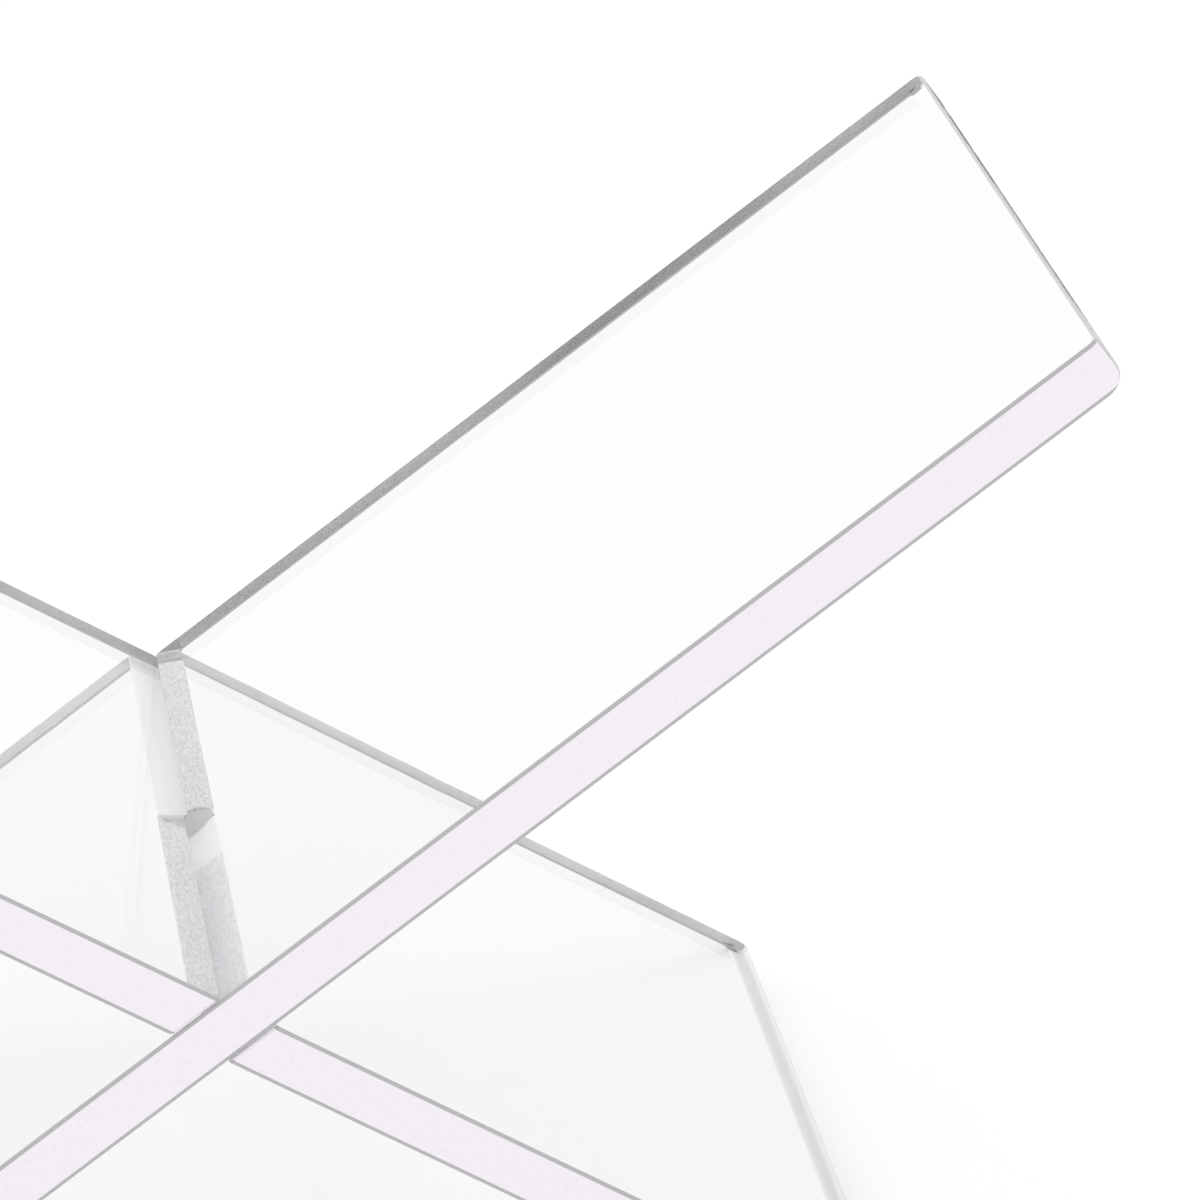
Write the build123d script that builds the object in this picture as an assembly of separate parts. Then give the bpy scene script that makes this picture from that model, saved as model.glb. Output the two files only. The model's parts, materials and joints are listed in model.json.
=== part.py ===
from build123d import *
from build123d.topology import SkipClean

import os
from math import cos, radians, sin, sqrt

# A magazine rack made of two identical clear acrylic sheets. Each sheet has one half-lap slot,
# and the two slots cross, so that the sheets stand as an X with a wide cradle on top.
# Millimetres, +Z up. The origin is on the table, under the middle of the crossing.
# X runs across the cradle, and Y runs along the crossing, from the front (-Y) to the rear (+Y).

# Driving dimensions
sheet_thickness = 12.0
sheet_depth = 240.0      # front edge to rear edge, along the crossing
arm_length = 237.0       # crossing's centre line to the upper end
leg_length = 163.0       # crossing's centre line to the foot end
tilt_degrees = 33.0      # each sheet's slope from the table
slot_play = 0.3          # between the slot wall and the other sheet, on each side
stop_gap = 0.3           # left between the two slot ends when the sheets' edges are flush
end_rounding = 4.5       # radius along the underside of each sheet's upper end and foot end
corner_radius = 2.5      # radius of the sheet's four corners, seen square on

# Derived sizes
tilt = radians(tilt_degrees)
crossing_angle = 2 * tilt
half_thickness = sheet_thickness / 2
slot_radius = half_thickness + slot_play
end_bite = sqrt(slot_radius**2 - half_thickness**2)
slot_end = end_bite - stop_gap / 2   # how far short of mid-depth the straight slot walls stop
slot_overshoot = 10.0                # how far the slot cutter reaches past the sheet's edge
rounding_drop = end_rounding * (sin(tilt) + cos(tilt) - 1)
crossing_height = leg_length * sin(tilt) + half_thickness * cos(tilt) - rounding_drop
cradle_start = (slot_radius - half_thickness * cos(crossing_angle)) / sin(crossing_angle)

# Directions in the sheet that rises to the right, and in the one that rises to the left
along_right = (cos(tilt), 0, sin(tilt))
out_of_right = (-sin(tilt), 0, cos(tilt))
along_left = (-cos(tilt), 0, sin(tilt))
out_of_left = (sin(tilt), 0, cos(tilt))
crossing_centre = (0, 0, crossing_height)


def bar():
    """The sheet's cross-section, run from the rear edge to the front edge.

    Its two underside ends are rounded. A vertex on the top line, level with the slot's wall,
    makes the cradle face a face of its own.
    """
    corners = [
        (-leg_length, -half_thickness),
        (arm_length, -half_thickness),
        (arm_length, half_thickness),
        (cradle_start, half_thickness),
        (-leg_length, half_thickness),
    ]
    section = make_face(Polyline(corners, close=True))
    underside_corners = section.vertices().sort_by(Axis.Y)[:2]
    section = fillet(underside_corners, end_rounding)
    rear_centre = (0, sheet_depth / 2, crossing_height)
    rear_plane = Plane(origin=rear_centre, x_dir=along_right, z_dir=(0, -1, 0))
    return extrude(rear_plane * section, amount=sheet_depth, clean=False)


def blank():
    """A block with the sheet's outline, seen square on: a rectangle with rounded corners."""
    length = arm_length + leg_length
    middle = (arm_length - leg_length) / 2
    outline = Pos(middle, 0) * RectangleRounded(length, sheet_depth, corner_radius)
    mid_plane = Plane(origin=crossing_centre, x_dir=along_right, z_dir=out_of_right)
    return extrude(mid_plane * outline, amount=sheet_thickness, both=True)


def slot_cutter():
    """The room for the crossing sheet and its play: flat walls and a round end.

    It leans with the sheet that rises to the left and is open towards the rear.
    """
    open_length = sheet_depth / 2 + slot_overshoot - slot_end
    open_part = Pos(0, slot_end + open_length / 2) * Rectangle(2 * slot_radius, open_length)
    round_end = Pos(0, slot_end) * Circle(slot_radius)
    across = Plane(origin=crossing_centre, x_dir=out_of_left, z_dir=along_left)
    return extrude(across * (open_part + round_end), amount=2 * sheet_thickness, both=True)


def right_rising_sheet():
    """The sheet that rises to the right. Its slot is open at the rear edge."""
    with SkipClean():
        sheet = (bar() & blank()) - slot_cutter()
    return sheet.solid()


def left_rising_sheet():
    """The same sheet turned half round: it rises to the left, and its slot is open at the front."""
    return Rot(0, 0, 180) * right_rising_sheet()


nodes = {
    "right_rising_sheet": right_rising_sheet(),
    "left_rising_sheet": left_rising_sheet(),
}

os.makedirs("parts", exist_ok=True)
for name, solid in nodes.items():
    solid.label = name
    export_step(solid, f"parts/{name}.step")

valley_height = crossing_height + half_thickness / cos(tilt)
upper_end_height = crossing_height + arm_length * sin(tilt) + half_thickness * cos(tilt)
print(f"crossing centre {crossing_height:.3f}, valley {valley_height:.3f}, top {upper_end_height:.3f}")
print(f"cradle face starts {cradle_start:.3f} from the crossing's centre line")
print(f"straight slot walls stop {slot_end:.3f} short of mid-depth")
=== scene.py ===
import json
import math

import bpy
from mathutils import Matrix, Vector


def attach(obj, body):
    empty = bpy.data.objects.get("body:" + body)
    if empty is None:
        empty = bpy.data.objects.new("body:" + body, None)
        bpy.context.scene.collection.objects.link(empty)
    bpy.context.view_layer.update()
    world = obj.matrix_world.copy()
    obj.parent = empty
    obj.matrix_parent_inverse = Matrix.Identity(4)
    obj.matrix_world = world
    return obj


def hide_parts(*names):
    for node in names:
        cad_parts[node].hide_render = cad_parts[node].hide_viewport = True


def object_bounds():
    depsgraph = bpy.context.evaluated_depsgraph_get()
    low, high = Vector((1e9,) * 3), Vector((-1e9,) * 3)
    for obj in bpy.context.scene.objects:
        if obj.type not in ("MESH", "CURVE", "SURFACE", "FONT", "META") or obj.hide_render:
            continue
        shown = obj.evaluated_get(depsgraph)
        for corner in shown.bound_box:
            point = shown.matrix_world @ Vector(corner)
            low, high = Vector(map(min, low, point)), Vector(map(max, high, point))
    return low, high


# A magazine rack of two clear acrylic sheets that cross in an X, on a white studio floor.

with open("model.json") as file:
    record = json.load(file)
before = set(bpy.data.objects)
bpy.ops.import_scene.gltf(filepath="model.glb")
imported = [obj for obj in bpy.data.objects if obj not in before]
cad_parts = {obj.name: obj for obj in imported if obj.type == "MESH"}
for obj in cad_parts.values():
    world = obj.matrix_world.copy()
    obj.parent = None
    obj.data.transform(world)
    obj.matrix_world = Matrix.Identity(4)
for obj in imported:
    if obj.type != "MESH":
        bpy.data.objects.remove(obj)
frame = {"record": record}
cad_low, cad_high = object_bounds()

# Sizes of one sheet, in metres, the same as the CAD part's. A sheet has its own axes: u runs up the
# slope from the crossing's centre line, v runs along the crossing towards the slot's open end, and
# n is square to the sheet, towards its upper face.
MM = 0.001
THICKNESS = 12 * MM
ARM = 237 * MM              # crossing's centre line to the upper end
LEG = 163 * MM              # crossing's centre line to the foot end
SLOT_PLAY = 0.3 * MM
STOP_GAP = 0.3 * MM
END_ROUNDING = 4.5 * MM     # underside of both ends
CORNER = 2.5 * MM           # the four corners, seen square on

DEPTH = cad_high.y - cad_low.y
HALF = THICKNESS / 2
mounts = {mount["name"]: mount for mount in frame["record"]["mounts"]}
out_of_face = Vector(mounts["right_cradle_face"]["axis"])
TILT = math.atan2(-out_of_face.x, out_of_face.z)    # each sheet's slope from the table
CROSSING_ANGLE = 2 * TILT
SLOT_RADIUS = HALF + SLOT_PLAY
SLOT_END = math.sqrt(SLOT_RADIUS**2 - HALF**2) - STOP_GAP / 2
ROUNDING_DROP = END_ROUNDING * (math.sin(TILT) + math.cos(TILT) - 1)
CROSSING = Vector((0, 0, LEG * math.sin(TILT) + HALF * math.cos(TILT) - ROUNDING_DROP))

# Finish that the CAD part doesn't have
UPPER_ARRIS = 0.75 * MM     # the eased edge round the upper broad face
LOWER_ARRIS = 1.05 * MM     # and round the underside
SLOT_EASE = 0.25            # the same along the slot's walls, as a share of those
MOUTH = 0.5 * MM            # the eased corners of the slot's mouth
LIGHTER_RUN = 27 * MM        # how far in front of mid-depth the slot walls are lighter and even in tone

# How finely round shapes are divided
ARC_STEPS = 10
END_STEPS = 4               # of a corner's ARC_STEPS, how many belong to the sheet's end
SLOT_STEPS = 24
ARRIS_STEPS = 3
SAME_HEIGHT = 8             # heights that agree to this many decimals are one level
SHARP = math.radians(40)    # edges that turn by more are left sharp

# Kinds of surface, in the order of a sheet's materials
(FACE, LONG_EDGE, END_EDGE, EDGE_LINE, END_LINE, CORNER_EDGE, SLOT_WALL, SLOT_STOP) = range(8)

# What a kind becomes where it is eased into the upper face, and into the underside
EASED_ABOVE = {LONG_EDGE: EDGE_LINE, CORNER_EDGE: EDGE_LINE, END_EDGE: END_LINE}
EASED_BELOW = {LONG_EDGE: EDGE_LINE, CORNER_EDGE: EDGE_LINE, END_LINE: EDGE_LINE}


# Shape -----------------------------------------------------------------------------------------


def arc(centre, radius, start, stop, steps):
    """Points of an arc in the u, v plane, from one angle in degrees to another."""
    angles = [math.radians(start + (stop - start) * i / steps) for i in range(steps + 1)]
    return [(centre[0] + radius * math.cos(a), centre[1] + radius * math.sin(a)) for a in angles]


def outline(n, inset, end_inset):
    """The sheet's edge line at height n: points in the u, v plane and the kind after each.

    inset draws in the long edges and widens the slot, and end_inset draws in the two ends.
    """
    radius = CORNER - inset
    low_u, high_u = -LEG + end_inset + radius, ARM - end_inset - radius
    low_v, high_v = -DEPTH / 2 + inset + radius, DEPTH / 2 - inset - radius
    half_slot = SLOT_RADIUS + inset * SLOT_EASE
    edge_v = DEPTH / 2 - inset
    by_end = [END_LINE] * END_STEPS
    by_long = [CORNER_EDGE] * (ARC_STEPS - END_STEPS)
    points, kinds = [], []

    def add(new, new_kinds, last_kind):
        points.extend(new)
        kinds.extend(new_kinds + [last_kind])

    def in_slot(across, v):
        """A point beside the crossing sheet, across from that sheet's middle plane."""
        return ((across - n * math.cos(CROSSING_ANGLE)) / math.sin(CROSSING_ANGLE), v)

    add(arc((low_u, low_v), radius, 180, 270, ARC_STEPS), by_end + by_long, LONG_EDGE)
    add(arc((high_u, low_v), radius, 270, 360, ARC_STEPS), by_long + by_end, END_EDGE)
    add(arc((high_u, high_v), radius, 0, 90, ARC_STEPS), by_end + by_long, LONG_EDGE)
    add([in_slot(half_slot + MOUTH, edge_v), in_slot(half_slot, edge_v - MOUTH)], [LONG_EDGE], SLOT_WALL)
    turn = arc((0, SLOT_END), half_slot, 0, -180, SLOT_STEPS)
    add([in_slot(across, v) for across, v in turn], [SLOT_STOP] * SLOT_STEPS, SLOT_WALL)
    add([in_slot(-half_slot, edge_v - MOUTH), in_slot(-half_slot - MOUTH, edge_v)], [LONG_EDGE], LONG_EDGE)
    add(arc((low_u, high_v), radius, 90, 180, ARC_STEPS), by_long + by_end, END_EDGE)
    return points, kinds


def arris_at(n):
    """The radius of the eased edge on the side of the sheet where n lies."""
    return UPPER_ARRIS if n > 0 else LOWER_ARRIS


def kind_at(n, kind):
    """What kind is at height n, where it may be eased into a broad face."""
    if HALF - abs(n) >= arris_at(n):
        return kind
    return (EASED_ABOVE if n > 0 else EASED_BELOW).get(kind, kind)


def drawn_in(height, radius):
    """How far a rounding of that radius draws an edge in, at a height above where it starts."""
    left = radius - min(height, radius)
    return radius - math.sqrt(max(radius**2 - left**2, 0))


def levels():
    """Heights through the sheet from the underside up, each with its two insets."""
    heights = set()
    for side, radius, steps in ((-1, END_ROUNDING, ARC_STEPS), (-1, LOWER_ARRIS, ARRIS_STEPS),
                                (1, UPPER_ARRIS, ARRIS_STEPS)):
        for i in range(steps + 1):
            from_face = radius * (1 - math.cos(math.pi / 2 * i / steps))
            heights.add(round(side * (HALF - from_face), SAME_HEIGHT))
    made = []
    for n in sorted(heights):
        inset = drawn_in(HALF - abs(n), arris_at(n))
        made.append((n, inset, max(inset, drawn_in(n + HALF, END_ROUNDING))))
    return made


def sheet_mesh(name):
    """One sheet in its own axes: rings of points through the thickness, closed by the broad faces."""
    vertices, faces, kinds = [], [], []
    rings = levels()
    for n, inset, end_inset in rings:
        points, ring_kinds = outline(n, inset, end_inset)
        vertices += [(u, v, n) for u, v in points]
    count = len(ring_kinds)
    for level in range(len(rings) - 1):
        middle = (rings[level][0] + rings[level + 1][0]) / 2
        for i in range(count):
            a, b = level * count + i, level * count + (i + 1) % count
            faces.append((a, b, b + count, a + count))
            kinds.append(kind_at(middle, ring_kinds[i]))
    faces.append(tuple(reversed(range(count))))
    faces.append(tuple(range(len(vertices) - count, len(vertices))))
    kinds += [FACE, FACE]
    mesh = bpy.data.meshes.new(name)
    mesh.from_pydata(vertices, [], faces)
    mesh.polygons.foreach_set("material_index", kinds)
    mesh.polygons.foreach_set("use_smooth", [True] * len(faces))
    mesh.set_sharp_from_angle(angle=SHARP)
    mesh.validate()
    return mesh


# Materials -------------------------------------------------------------------------------------

IOR = 1.49                              # cast acrylic
WHITE = (1, 1, 1, 1)
NOISE_SPAN = (0.3, 0.7)                 # where nearly all of a noise texture's values lie
BROAD, PLAIN, FINE = 1.0, 2.0, 3.0      # how much fine detail a noise texture has
COLOUR_SHARE, FIRST_COLOUR, SECOND_COLOUR, MIXED_COLOUR = 0, 6, 7, 2    # a Mix node's sockets

FACE_TINT = (0.978, 0.976, 0.977, 1)
FACE_MIRROR = 0.04                      # what a face mirrors of a ray that meets it head on
MIRROR_START = 0.2                      # the Fresnel share from which a face mirrors more than that
FACE_ROUGHNESS = (0.0, 0.02)
WIPE_MARKS = 45                         # noise is in cells per metre
WAVES, WAVE_HEIGHT = 14, 0.04 * MM

VIOLET_GREY = (0.878, 0.843, 0.895, 1)  # the long edges and the corners, from outside
SAW_MARKS, SAW_HEIGHT = 900, 0.01 * MM
SAW_DARKEST = 0.97
SATIN_ROUGHNESS = (0.25, 0.4)
# Painted shade in what a long edge mirrors from inside: on the legs, on the arms, and in darker patches
SHADE_ON_LEGS, SHADE_ON_ARMS = (0.78, 0.78, 0.78, 1), (0.53, 0.53, 0.53, 1)
EDGE_BLUR = 0.15
SHADE_PATCHES = 12
SHADE_PATCH_DARKEST = 0.55

LINE_SHADE_GREY = (0.46, 0.45, 0.46, 1)       # the long edges' eased lines from outside, grey as painted shade
LINE_SHADE_WITHIN = (0.40, 0.40, 0.40, 1)     # and from inside, like the corners: painted shade too

END_GREY, END_WITHIN = (0.85, 0.82, 0.85, 1), (0.99, 0.985, 0.99, 1)
END_CLEAR = 0.85                        # how much of an end is clear from outside
# The ends' eased lines from outside and from inside: grey, as painted shade
END_LINE_SHADE_GREY, END_LINE_SHADE_WITHIN = (0.62, 0.61, 0.62, 1), (0.8, 0.8, 0.8, 1)
END_LINE_CLEAR = 0.1
END_BLUR = 0.1
END_GLOW = 0.7                          # how much of an end glows from inside

ROUTER_MARKS, ROUTER_HEIGHT = 1200, 0.03 * MM
ALONG_CUT = (1, 0.4, 1)                 # marks drawn out along the slot
WALL, WALL_DARKEST = (0.90, 0.89, 0.91, 1), 0.84    # from outside, speckled
WALL_LIGHTER = (0.932, 0.927, 0.937, 1)  # and lighter and even in tone, by the front slot's end and in the rear slot
WALL_WITHIN, WALL_WITHIN_DARKEST = (0.98, 0.97, 0.99, 1), 0.68
WALL_CLEAR = 0.6                        # how much passes straight through a wall, from inside
STOP, STOP_DARKEST = WHITE, 0.92
STOP_CLEAR = 0.5
LIT_FROM_BEYOND = 0.5                   # of what glows, the share lit from its other side


class Nodes:
    """A material's node tree, with short ways to add nodes and join them."""

    def __init__(self, name):
        self.material = bpy.data.materials.new(name)
        self.material.use_nodes = True
        self.tree = self.material.node_tree
        self.tree.nodes.clear()
        self.output = self.add("OutputMaterial")

    def add(self, kind, inputs=None, **settings):
        """A new node. inputs holds values or sockets, by the names or places of its own sockets."""
        node = self.tree.nodes.new("ShaderNode" + kind)
        for key, value in settings.items():
            setattr(node, key, value)
        for key, value in (inputs or {}).items():
            if isinstance(value, bpy.types.NodeSocket):
                self.tree.links.new(value, node.inputs[key])
            else:
                node.inputs[key].default_value = value
        return node

    def mix(self, share, first, second):
        """The shader first, with a share of the shader second mixed in."""
        return self.add("MixShader", {0: share, 1: first.outputs[0], 2: second.outputs[0]})

    def finish(self, shader):
        """The material, with shader as its surface."""
        self.tree.links.new(shader.outputs[0], self.output.inputs["Surface"])
        return self.material


def noise(m, scale, detail=FINE, stretch=(1, 1, 1)):
    """Noise in the object's own coordinates, drawn out along any axis whose stretch is under 1."""
    place = m.add("TexCoord")
    mapping = m.add("Mapping", {"Vector": place.outputs["Object"], "Scale": stretch})
    texture = m.add("TexNoise", {"Vector": mapping.outputs["Vector"], "Scale": scale, "Detail": detail})
    return texture.outputs["Fac"]


def along(m, axis):
    """The object's own coordinate along X, Y or Z."""
    place = m.add("TexCoord")
    return m.add("SeparateXYZ", {"Vector": place.outputs["Object"]}).outputs[axis]


def mapped(m, source, span, result):
    """source from one end of span to the other, as a value from one end of result to the other."""
    ends = {"From Min": span[0], "From Max": span[1], "To Min": result[0], "To Max": result[1]}
    return m.add("MapRange", {"Value": source, **ends}).outputs["Result"]


def blended(m, share, first, second):
    """The colour first, with a share of the colour second mixed in."""
    inputs = {COLOUR_SHARE: share, FIRST_COLOUR: first, SECOND_COLOUR: second}
    return m.add("Mix", inputs, data_type="RGBA").outputs[MIXED_COLOUR]


def varied(m, source, colour, darkest):
    """colour, with source taking it down to darkest of itself."""
    dark = (*[c * darkest for c in colour[:3]], 1)
    return blended(m, mapped(m, source, NOISE_SPAN, (0, 1)), dark, colour)


def bump(m, source, height):
    """The surface's direction, with source raising it by up to height."""
    return m.add("Bump", {"Height": source, "Distance": height, "Strength": 1.0}).outputs["Normal"]


def mirrored_share(m):
    """How much a face mirrors: little until it is met at a slant, and all beyond the critical
    angle, where light inside the sheet can't leave."""
    fresnel = m.add("Fresnel", {"IOR": IOR})
    return mapped(m, fresnel.outputs["Fac"], (MIRROR_START, 1.0), (FACE_MIRROR, 1.0))


def clear_face():
    """Cast acrylic's broad face: clear and glossy, with the faintest waviness and wipe marks."""
    m = Nodes("clear_acrylic_face")
    finish = {
        "Roughness": mapped(m, noise(m, WIPE_MARKS), NOISE_SPAN, FACE_ROUGHNESS),
        "Normal": bump(m, noise(m, WAVES, BROAD), WAVE_HEIGHT),
    }
    refract = m.add("BsdfRefraction", {"Color": FACE_TINT, "IOR": IOR, **finish})
    mirror = m.add("BsdfGlossy", {"Color": WHITE, **finish})
    return m.finish(m.mix(mirrored_share(m), refract, mirror))


def satin(m, colour):
    """What a sawn and flame-polished edge shows from outside."""
    saw_marks = noise(m, SAW_MARKS, PLAIN)
    return m.add("BsdfPrincipled", {
        "Base Color": varied(m, saw_marks, colour, SAW_DARKEST),
        "Roughness": mapped(m, saw_marks, NOISE_SPAN, SATIN_ROUGHNESS),
        "Normal": bump(m, saw_marks, SAW_HEIGHT),
    })


def sided(m, outside, inside):
    """outside where a ray comes from the air, and inside where it comes from within the sheet."""
    side = m.add("NewGeometry")
    return m.mix(side.outputs["Backfacing"], outside, inside)


def long_edge():
    """A satin edge. Light that strikes it from inside is thrown back darkened by painted shade, a
    little more here and a little less there, and more on the arms."""
    m = Nodes("polished_long_edge")
    shade_patches = noise(m, SHADE_PATCHES, PLAIN)
    shaded_on_legs = varied(m, shade_patches, SHADE_ON_LEGS, SHADE_PATCH_DARKEST)
    shaded_on_arms = varied(m, shade_patches, SHADE_ON_ARMS, SHADE_PATCH_DARKEST)
    # painted shade: darker up the arms than on the legs
    arm_shade = mapped(m, along(m, "Z"), (CROSSING.z - HALF, CROSSING.z + HALF), (0, 1))
    mirror = m.add("BsdfGlossy", {"Color": blended(m, arm_shade, shaded_on_legs, shaded_on_arms), "Roughness": EDGE_BLUR})
    return m.finish(sided(m, satin(m, VIOLET_GREY), mirror))


def end_edge(name, colour, clear, within):
    """A satin edge with a share of clear glass. From inside it passes light straight on and glows
    with the light that falls on it."""
    m = Nodes(name)
    refract = m.add("BsdfRefraction", {"IOR": IOR, "Roughness": END_BLUR})
    through = m.add("BsdfTransparent", {"Color": within})
    beyond = m.add("BsdfTranslucent", {"Color": within})
    return m.finish(sided(m, m.mix(clear, satin(m, colour), refract), m.mix(END_GLOW, through, beyond)))


def grey_within(name, colour):
    """A satin edge that is an even grey from inside, a painted shade: round the corners and along
    the long edges' narrow eased lines."""
    m = Nodes(name)
    return m.finish(sided(m, satin(m, colour), m.add("BsdfTransparent", {"Color": LINE_SHADE_WITHIN})))


def glowing(m, tone, normal, clear):
    """Matt, lit from both sides, with a share of clear that goes straight on."""
    near = m.add("BsdfDiffuse", {"Color": tone, "Normal": normal})
    beyond = m.add("BsdfTranslucent", {"Color": tone, "Normal": normal})
    through = m.add("BsdfTransparent", {"Color": tone})
    return m.mix(clear, m.mix(LIT_FROM_BEYOND, near, beyond), through)


def slot_wall():
    """A routed slot wall: matt, and speckled as the cutter leaves it in front, but lighter and even
    in tone in the rear slot and by the front slot's end. From inside it glows, and part of the light goes
    on."""
    m = Nodes("routed_slot_wall")
    grain = noise(m, ROUTER_MARKS, PLAIN, ALONG_CUT)
    normal = bump(m, grain, ROUTER_HEIGHT)
    lighter_stretch = m.add("Math", {0: along(m, "Y"), 1: -LIGHTER_RUN}, operation="GREATER_THAN")
    tone = blended(m, lighter_stretch.outputs[0], varied(m, grain, WALL, WALL_DARKEST), WALL_LIGHTER)
    outside = m.add("BsdfDiffuse", {"Color": tone, "Normal": normal})
    within = varied(m, grain, WALL_WITHIN, WALL_WITHIN_DARKEST)
    return m.finish(sided(m, outside, glowing(m, within, normal, WALL_CLEAR)))


def slot_stop():
    """The slot's round end, where the cutter turns: speckled like the walls, and lighter."""
    m = Nodes("routed_slot_end")
    grain = noise(m, ROUTER_MARKS, PLAIN)
    tone = varied(m, grain, STOP, STOP_DARKEST)
    return m.finish(glowing(m, tone, bump(m, grain, ROUTER_HEIGHT), STOP_CLEAR))


def sheet_materials():
    """A sheet's materials, in the order of the kinds of surface."""
    return [
        clear_face(),
        long_edge(),
        end_edge("polished_end_edge", END_GREY, END_CLEAR, END_WITHIN),
        grey_within("eased_long_edge", LINE_SHADE_GREY),
        end_edge("eased_end_edge", END_LINE_SHADE_GREY, END_LINE_CLEAR, END_LINE_SHADE_WITHIN),
        grey_within("polished_corner", VIOLET_GREY),
        slot_wall(),
        slot_stop(),
    ]


# Pieces ----------------------------------------------------------------------------------------


def add_sheet(name, node, turn, materials):
    """A finished sheet in place of its CAD node, riding on the body of the same name."""
    mesh = sheet_mesh(name)
    slope = Matrix.Rotation(-TILT, 4, "Y")
    mesh.transform(Matrix.Rotation(turn, 4, "Z") @ Matrix.Translation(CROSSING) @ slope)
    for material in materials:
        mesh.materials.append(material)
    piece = bpy.data.objects.new(name, mesh)
    bpy.context.scene.collection.objects.link(piece)
    weighted = piece.modifiers.new("flat faces", "WEIGHTED_NORMAL")
    weighted.keep_sharp = True
    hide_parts(node)
    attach(piece, node)


# Surroundings ----------------------------------------------------------------------------------

FLOOR_WHITE = (0.97, 0.97, 0.97, 1)
FLOOR_REACH = 12.0                      # from its middle to each side
FLOOR_CLEARANCE = 0.1 * MM              # below the feet

WORLD_STRENGTH = 1.04
LAMP_SIZE, LAMP_WATTS = 1.0, 2.0
LAMP_PLACE = (-0.6, 0.5, 2.6)

AIM = (0.0982, 0.0, 0.1408)             # the point that the camera looks at
DISTANCE = 1.7117                       # from there to the camera
AZIMUTH, ELEVATION, ROLL = (math.radians(degrees) for degrees in (-5.407, 17.968, 4.091))
SENSOR_WIDTH, FOCAL_LENGTH = 36.0, 225.75       # in millimetres, as Blender has them
NEAREST, FARTHEST = 0.05, 100.0

# The most bounces that light may take, in all and of each sort
BOUNCES = {"max_bounces": 40, "glossy_bounces": 24, "transmission_bounces": 32, "diffuse_bounces": 6}


def add_floor():
    """A plain white floor, wide enough to fill every view."""
    mesh = bpy.data.meshes.new("floor")
    side = FLOOR_REACH
    corners = [(-side, -side, 0), (side, -side, 0), (side, side, 0), (-side, side, 0)]
    mesh.from_pydata(corners, [], [(0, 1, 2, 3)])
    m = Nodes("white_floor")
    mesh.materials.append(m.finish(m.add("BsdfDiffuse", {"Color": FLOOR_WHITE})))
    floor = bpy.data.objects.new("floor", mesh)
    floor.location.z = cad_low.z - FLOOR_CLEARANCE
    bpy.context.scene.collection.objects.link(floor)


def add_light():
    """Even white surroundings and a large soft light above, turned to the origin."""
    world = bpy.data.worlds.new("white_studio")
    world.use_nodes = True
    background = world.node_tree.nodes["Background"]
    background.inputs["Color"].default_value = WHITE
    background.inputs["Strength"].default_value = WORLD_STRENGTH
    bpy.context.scene.world = world
    lamp = bpy.data.lights.new("soft_box", "AREA")
    lamp.shape = "SQUARE"
    lamp.size = LAMP_SIZE
    lamp.energy = LAMP_WATTS
    light = bpy.data.objects.new("soft_box", lamp)
    light.location = LAMP_PLACE
    light.rotation_euler = (-light.location).to_track_quat("-Z", "Y").to_euler()
    bpy.context.scene.collection.objects.link(light)


def add_camera():
    """A long lens in front and a little to the left, looking down at the right-hand arm."""
    back = Vector((math.sin(AZIMUTH) * math.cos(ELEVATION),
                   -math.cos(AZIMUTH) * math.cos(ELEVATION),
                   math.sin(ELEVATION)))
    lens = bpy.data.cameras.new("camera")
    lens.sensor_width = SENSOR_WIDTH
    lens.lens = FOCAL_LENGTH
    lens.clip_start = NEAREST
    lens.clip_end = FARTHEST
    camera = bpy.data.objects.new("camera", lens)
    place = Matrix.Translation(Vector(AIM) + DISTANCE * back)
    facing = back.to_track_quat("Z", "Y").to_matrix().to_4x4()
    camera.matrix_world = place @ facing @ Matrix.Rotation(-ROLL, 4, "Z")
    bpy.context.scene.collection.objects.link(camera)
    bpy.context.scene.camera = camera


def set_look():
    """Plain colours, and enough bounces for light that runs down the inside of a sheet."""
    scene = bpy.context.scene
    scene.view_settings.view_transform = "Standard"
    for setting, most in BOUNCES.items():
        setattr(scene.cycles, setting, most)
    scene.cycles.blur_glossy = 0.0


materials = sheet_materials()
add_sheet("right_rising_acrylic_sheet", "right_rising_sheet", 0.0, materials)
add_sheet("left_rising_acrylic_sheet", "left_rising_sheet", math.pi, materials)
add_floor()
add_light()
add_camera()
set_look()
